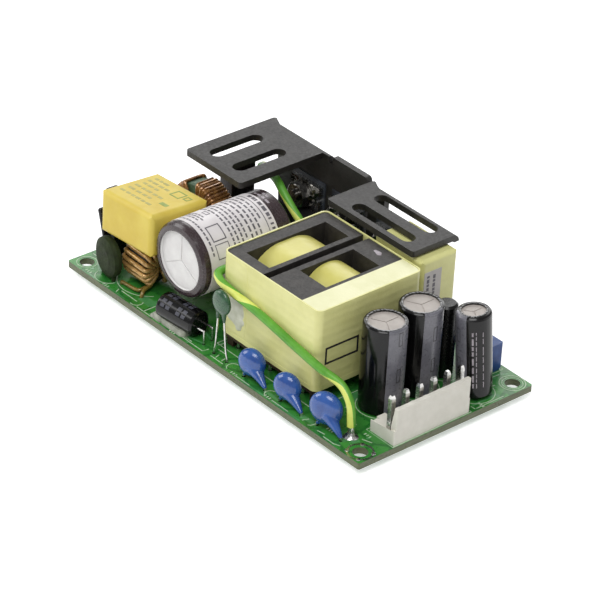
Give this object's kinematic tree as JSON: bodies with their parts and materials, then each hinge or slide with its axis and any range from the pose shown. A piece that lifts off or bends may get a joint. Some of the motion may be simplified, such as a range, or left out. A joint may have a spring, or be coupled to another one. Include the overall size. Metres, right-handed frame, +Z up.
{
  "type": "open frame power supply",
  "caption": "Open frame power supply: a bare board with folded heatsinks, transformers, capacitors, chokes and pin headers at both ends.",
  "frame": {"origin": "under the middle of the board, in the plane of the lead tips that the supply rests on", "axes": "+X along the board towards the output header, +Y across it towards the heatsinks, +Z up from the board's component side"},
  "size_m": [0.1016, 0.0508, 0.0301],
  "materials": {
    "base_black": "satin",
    "board_green": "satin",
    "bobbin_brown": "satin",
    "box_brown": "gloss",
    "can_metal": "satin",
    "case_black": "gloss",
    "cover_green": "satin",
    "device_black": "matt",
    "disc_blue": "gloss",
    "disc_green": "gloss",
    "enamel_copper": "gloss",
    "enamel_gold": "gloss",
    "ferrite": "matt",
    "film_yellow": "satin",
    "glue": "satin",
    "header_white": "satin",
    "line_core": "matt",
    "pad_grey": "matt",
    "ring_core": "satin",
    "screw_white": "satin",
    "sink_grey": "satin",
    "sleeve_black": "gloss",
    "sleeve_brown": "gloss",
    "solder": "bright",
    "steel": "bright",
    "tape_pale": "satin",
    "tape_yellow": "satin",
    "tinned": "bright",
    "trimmer_blue": "gloss",
    "varistor_green": "satin"
  },
  "bodies": {
    "root": {"circuit_board": "board_green", "solder_joints": "solder", "primary_heatsink": "sink_grey", "output_heatsink": "sink_grey", "sink_screws": "steel", "sink_nuts": "steel", "star_washers": "steel", "thermal_pads": "pad_grey", "switch_body": "device_black", "switch_leadframe": "tinned", "diode_body": "device_black", "diode_leadframe": "tinned", "rectifier_body": "device_black", "rectifier_leadframe": "tinned", "input_header": "header_white", "input_pins": "tinned", "line_fuse": "case_black", "varistor": "varistor_green", "line_choke_core": "line_core", "line_choke_coil": "enamel_gold", "ring_choke_core": "ring_core", "ring_choke_coil_a": "enamel_copper", "ring_choke_coil_b": "enamel_copper", "ring_choke_base": "base_black", "film_capacitor": "film_yellow", "box_capacitor": "box_brown", "bulk_can": "can_metal", "bulk_sleeve": "sleeve_brown", "small_can": "can_metal", "small_sleeve": "sleeve_black", "small_glue": "glue", "green_disc": "disc_green", "safety_disc_a": "disc_blue", "safety_disc_b": "disc_blue", "safety_disc_c": "disc_blue", "transformer_core": "ferrite", "transformer_yoke": "ferrite", "transformer_coil": "tape_yellow", "resonant_core": "ferrite", "resonant_yoke": "ferrite", "resonant_coil": "tape_yellow", "end_block": "tape_pale", "transformer_tape": "tape_yellow", "transformer_base": "bobbin_brown", "transformer_pins": "tinned", "tape_glue": "glue", "standby_transformer": "tape_yellow", "standby_base": "base_black", "output_can_a": "can_metal", "output_sleeve_a": "sleeve_black", "output_can_b": "can_metal", "output_sleeve_b": "sleeve_black", "output_can_c": "can_metal", "output_sleeve_c": "sleeve_black", "output_choke": "case_black", "trimmer_body": "trimmer_blue", "trimmer_screw": "screw_white", "output_header": "header_white", "output_pins": "tinned", "earth_wire": "cover_green"}
  },
  "joints": []
}
